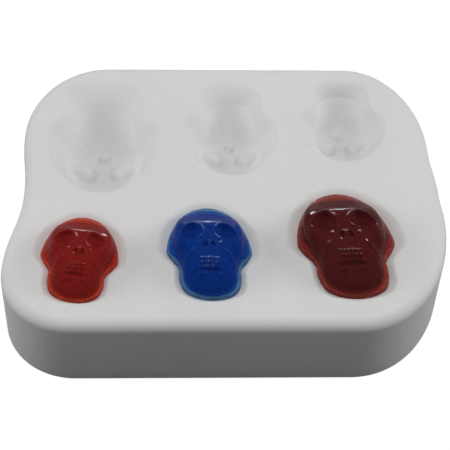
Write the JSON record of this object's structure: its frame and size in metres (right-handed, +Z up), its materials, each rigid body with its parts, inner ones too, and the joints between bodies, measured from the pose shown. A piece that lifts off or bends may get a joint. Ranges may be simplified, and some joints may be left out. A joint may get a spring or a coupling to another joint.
{
  "type": "skull mould",
  "caption": "Low white ceramic casting mould with soft corners and skull-shaped cavities in three sizes, with small glass skulls lying face up on the front ones.",
  "frame": {"origin": "middle of the flat underside of the block, on the surface that it stands on", "axes": "+X along the long side to the right, +Y to the back edge, where the chins of the back row point, +Z up"},
  "size_m": [0.19, 0.1486, 0.05],
  "materials": {
    "white_bisque": "matt, unglazed, faint sponge marks and pits",
    "orange_red_glass": "fire-polished, clear, with fine seed bubbles",
    "cobalt_blue_glass": "fire-polished, clear, with fine seed bubbles",
    "dark_red_glass": "fire-polished, nearly opaque in the middle"
  },
  "bodies": {
    "mould": {"mould_body": "white_bisque"},
    "small_cast": {"glass_skull_small": "orange_red_glass"},
    "medium_cast": {"glass_skull_medium": "cobalt_blue_glass"},
    "large_cast": {"glass_skull_large": "dark_red_glass"}
  },
  "joints": [
    {"name": "small_cast_lift", "type": "slide", "parent": "mould", "child": "small_cast", "axis": [0, 0, 1], "range_m": [0, 0.05]},
    {"name": "medium_cast_lift", "type": "slide", "parent": "mould", "child": "medium_cast", "axis": [0, 0, 1], "range_m": [0, 0.05]},
    {"name": "large_cast_lift", "type": "slide", "parent": "mould", "child": "large_cast", "axis": [0, 0, 1], "range_m": [0, 0.05]}
  ]
}
